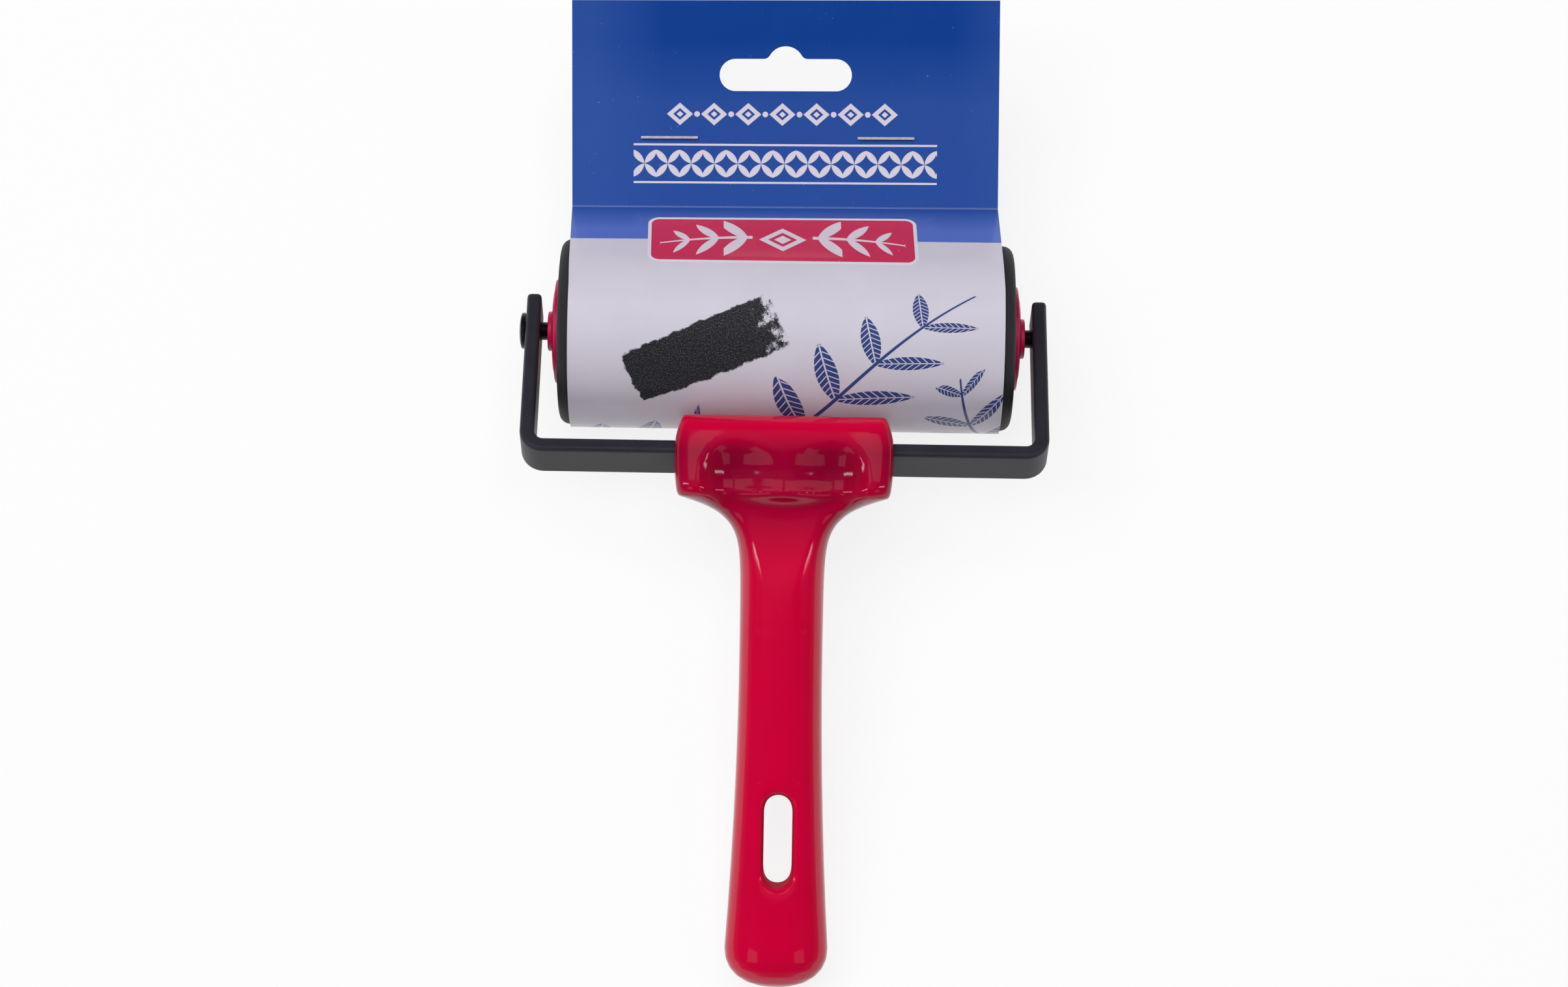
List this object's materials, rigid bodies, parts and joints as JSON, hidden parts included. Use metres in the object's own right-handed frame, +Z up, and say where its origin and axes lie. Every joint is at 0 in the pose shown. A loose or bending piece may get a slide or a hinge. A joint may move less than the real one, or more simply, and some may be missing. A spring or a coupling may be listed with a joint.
{
  "type": "rubber brayer",
  "caption": "Hand roller for printing ink: a soft rubber roller on an axle in a bent strap frame, with a moulded handle, a hang slot and a folded card stapled round the roller.",
  "frame": {"origin": "centre of the bounding box on the bench that the roller and the end of the handle lie on", "axes": "+Z up from the bench, X along the axle with the axle's button head at -X, handle towards -Y and card header towards +Y"},
  "size_m": [0.117, 0.2152, 0.0424],
  "materials": {
    "red_plastic": "glossy moulded red plastic",
    "hub_plastic": "satin moulded dark red plastic",
    "black_coat": "satin black powder coat on steel strap",
    "black_steel": "blackened steel",
    "soft_rubber": "matte ground rubber",
    "core_tube": "plain extruded plastic tube",
    "printed_card": "coated and printed paperboard",
    "bright_wire": "bright zinc-plated wire"
  },
  "bodies": {
    "tool": {"handle": "red_plastic", "frame": "black_coat", "axle": "black_steel"},
    "roller": {"roller_rubber": "soft_rubber", "roller_core": "core_tube", "left_hub": "hub_plastic", "right_hub": "hub_plastic"},
    "card": {"hang_card": "printed_card", "left_staple": "bright_wire", "right_staple": "bright_wire"}
  },
  "joints": [
    {"name": "roller_spin", "type": "hinge", "parent": "tool", "child": "roller", "pos_m": [0.0008, 0.03557, 0.0212], "axis": [1, 0, 0], "continuous": true},
    {"name": "card_turn", "type": "hinge", "parent": "tool", "child": "card", "pos_m": [0.0008, 0.03557, 0.0212], "axis": [1, 0, 0], "range_deg": [-160, 110]}
  ]
}
